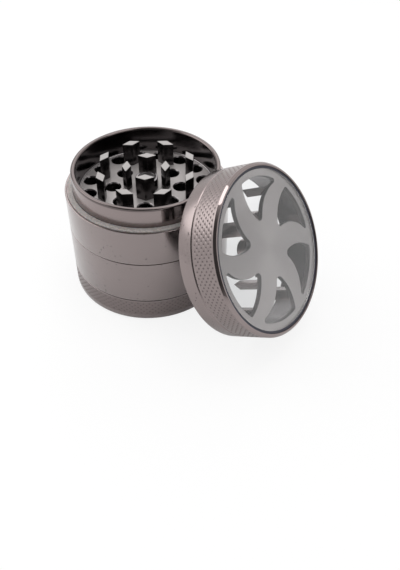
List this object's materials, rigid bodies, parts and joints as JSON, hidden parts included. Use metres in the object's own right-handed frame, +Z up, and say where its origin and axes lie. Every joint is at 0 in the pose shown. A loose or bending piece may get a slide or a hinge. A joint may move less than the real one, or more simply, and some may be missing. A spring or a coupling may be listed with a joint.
{
  "type": "herb and spice grinder",
  "caption": "Round metal herb grinder in stacked screw-together sections, with diamond teeth, a sieve and a lid with a clear window over curved blades, leaning against its side.",
  "frame": {"origin": "middle of the tray's flat base, on the axis of the stacked sections", "axes": "+Z up along the axis of the stacked sections, +X towards the lid that leans against them"},
  "size_m": [0.0808, 0.05, 0.0497],
  "materials": {
    "gunmetal": "glossy gunmetal plating on die-cast zinc",
    "steel_mesh": "woven mesh",
    "steel_ring": "satin",
    "nylon": "translucent, slightly textured",
    "magnet": "nickel plated",
    "gasket": "matte",
    "acrylic": "clear acrylic"
  },
  "bodies": {
    "tray": {"tray": "gunmetal"},
    "sieve": {"sieve": "steel_mesh"},
    "storage_chamber": {"storage_chamber": "gunmetal", "sieve_ring": "steel_ring"},
    "glide_ring": {"glide_ring": "nylon"},
    "grinding_chamber": {"grinding_chamber": "gunmetal", "chamber_magnet": "magnet"},
    "lid_magnet": {"lid_magnet": "magnet"},
    "lid": {"lid": "gunmetal", "lid_gasket": "gasket", "lid_window": "acrylic"}
  },
  "joints": [
    {"name": "storage_rise", "type": "slide", "parent": "tray", "child": "sieve", "axis": [0, 0, 1], "range_m": [0, 0.0055]},
    {"name": "storage_unscrew", "type": "hinge", "parent": "sieve", "child": "storage_chamber", "pos_m": [0, 0, 0], "axis": [0, 0, 1], "range_deg": [0, 1080]},
    {"name": "chamber_rise", "type": "slide", "parent": "storage_chamber", "child": "glide_ring", "axis": [0, 0, 1], "range_m": [0, 0.0055]},
    {"name": "chamber_unscrew", "type": "hinge", "parent": "glide_ring", "child": "grinding_chamber", "pos_m": [0, 0, 0], "axis": [0, 0, 1], "range_deg": [0, 1080]},
    {"name": "lid_swing", "type": "hinge", "parent": "grinding_chamber", "child": "lid_magnet", "pos_m": [-0.02087, 0, 0.0156], "axis": [0, -1, 0], "range_deg": [0, 60.5]},
    {"name": "lid_turn", "type": "hinge", "parent": "lid_magnet", "child": "lid", "pos_m": [0.0324, 0, 0.02176], "axis": [0.8704, 0, 0.4924], "continuous": true}
  ],
  "couplings": [
    {"joint": "storage_rise", "follows": "storage_unscrew", "m_per_rad": 0.00028648},
    {"joint": "chamber_rise", "follows": "chamber_unscrew", "m_per_rad": 0.00028648}
  ]
}
